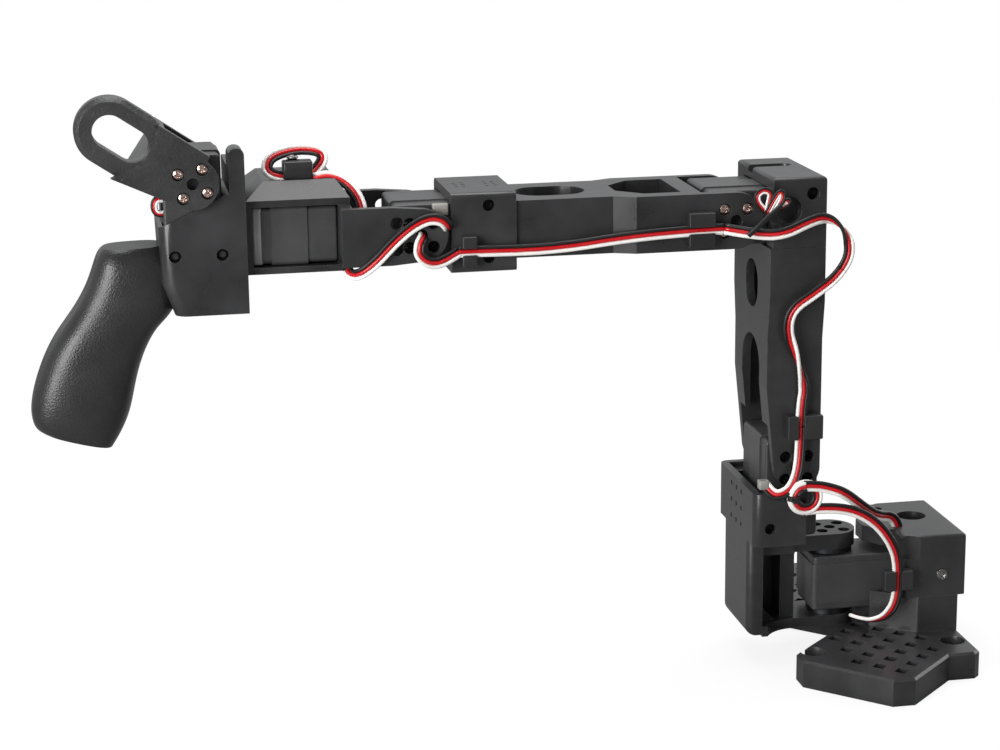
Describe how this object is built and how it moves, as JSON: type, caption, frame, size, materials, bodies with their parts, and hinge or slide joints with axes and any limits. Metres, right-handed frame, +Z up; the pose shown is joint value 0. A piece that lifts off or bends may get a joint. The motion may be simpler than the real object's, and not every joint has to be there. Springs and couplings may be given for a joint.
{
  "type": "robot arm",
  "caption": "Desktop leader arm of a tele-operation rig: a clamped foot, servo-jointed links, clipped leads, a pistol grip and a finger-ring trigger.",
  "frame": {"origin": "on the shoulder-pan axis at the underside of the foot", "axes": "+X along the reach of the arm at rest, +Y to the arm's left, +Z up"},
  "size_m": [0.4006, 0.1588, 0.2615],
  "materials": {
    "charcoal_plastic": "satin moulded charcoal plastic with a fine grain",
    "grip_plastic": "pebbled dark plastic",
    "trigger_plastic": "wrinkle-textured dark plastic",
    "clip_plastic": "black plastic",
    "tie_plastic": "black nylon",
    "servo_plastic": "dark grey servo housing",
    "servo_cover": "black servo cover",
    "horn_metal": "dark anodised disc",
    "copper_screw": "rose-copper plated screw",
    "steel_screw": "plated steel screw",
    "lead": "flat three-core lead in black, red and white"
  },
  "bodies": {
    "base": {"base_foot": "charcoal_plastic", "base_motor_cap": "charcoal_plastic", "pan_servo_case": "servo_plastic", "pan_servo_covers": "servo_cover", "base_clip": "clip_plastic", "base_cap_screw": "steel_screw"},
    "shoulder": {"shoulder_bracket": "charcoal_plastic", "shoulder_motor_holder": "charcoal_plastic", "pan_horns": "horn_metal", "pan_screws": "copper_screw", "lift_servo_case": "servo_plastic", "lift_servo_covers": "servo_cover", "shoulder_coil": "lead", "shoulder_tie": "tie_plastic", "lead_pan": "lead", "lead_pan_feed": "lead"},
    "upper_arm": {"upper_arm_beam": "charcoal_plastic", "elbow_motor_cap": "charcoal_plastic", "lift_horns": "horn_metal", "lift_screws": "copper_screw", "elbow_servo_case": "servo_plastic", "elbow_servo_covers": "servo_cover", "upper_arm_clip": "clip_plastic", "elbow_cap_screw": "copper_screw", "lead_lift": "lead", "elbow_hank": "lead", "elbow_tie": "tie_plastic", "lead_elbow": "lead"},
    "forearm": {"forearm_beam": "charcoal_plastic", "wrist_motor_holder": "charcoal_plastic", "elbow_horns": "horn_metal", "elbow_screws": "copper_screw", "flex_servo_case": "servo_plastic", "flex_servo_covers": "servo_cover", "forearm_clips": "clip_plastic", "lead_forearm": "lead", "lead_flex": "lead"},
    "wrist": {"wrist_link": "charcoal_plastic", "flex_horns": "horn_metal", "flex_screws": "copper_screw", "roll_servo_case": "servo_plastic", "roll_servo_covers": "servo_cover", "roll_clip": "clip_plastic", "roll_clip_screw": "steel_screw", "lead_wrist": "lead", "lead_roll": "lead"},
    "handle": {"handle_block": "charcoal_plastic", "grip": "grip_plastic", "roll_horns": "horn_metal", "roll_screws": "copper_screw", "trigger_servo_case": "servo_plastic", "trigger_servo_covers": "servo_cover", "lead_trigger": "lead"},
    "trigger": {"trigger_ring": "trigger_plastic", "trigger_horns": "horn_metal", "trigger_screws": "copper_screw"}
  },
  "joints": [
    {"name": "shoulder_pan", "type": "hinge", "parent": "base", "child": "shoulder", "pos_m": [0, 0, 0.0328], "axis": [0, 0, 1], "range_deg": [-100, 100], "deforming": ["lead_pan", "lead_pan_feed"]},
    {"name": "shoulder_lift", "type": "hinge", "parent": "shoulder", "child": "upper_arm", "pos_m": [0.0235, 0, 0.091], "axis": [0, 1, 0], "range_deg": [-95, 75], "deforming": ["lead_lift"]},
    {"name": "elbow_flex", "type": "hinge", "parent": "upper_arm", "child": "forearm", "pos_m": [0.0517, 0, 0.2004], "axis": [0, -1, 0], "range_deg": [-85, 95], "deforming": ["lead_elbow", "elbow_hank", "elbow_tie"]},
    {"name": "wrist_flex", "type": "hinge", "parent": "forearm", "child": "wrist", "pos_m": [0.1849, 0, 0.2004], "axis": [0, 1, 0], "range_deg": [-90, 90], "deforming": ["lead_flex"]},
    {"name": "wrist_roll", "type": "hinge", "parent": "wrist", "child": "handle", "pos_m": [0.2559, 0, 0.2004], "axis": [1, 0, 0], "range_deg": [-157, 157]},
    {"name": "trigger_pull", "type": "hinge", "parent": "handle", "child": "trigger", "pos_m": [0.2771, 0, 0.2256], "axis": [0, -1, 0], "range_deg": [-40, 48]}
  ]
}
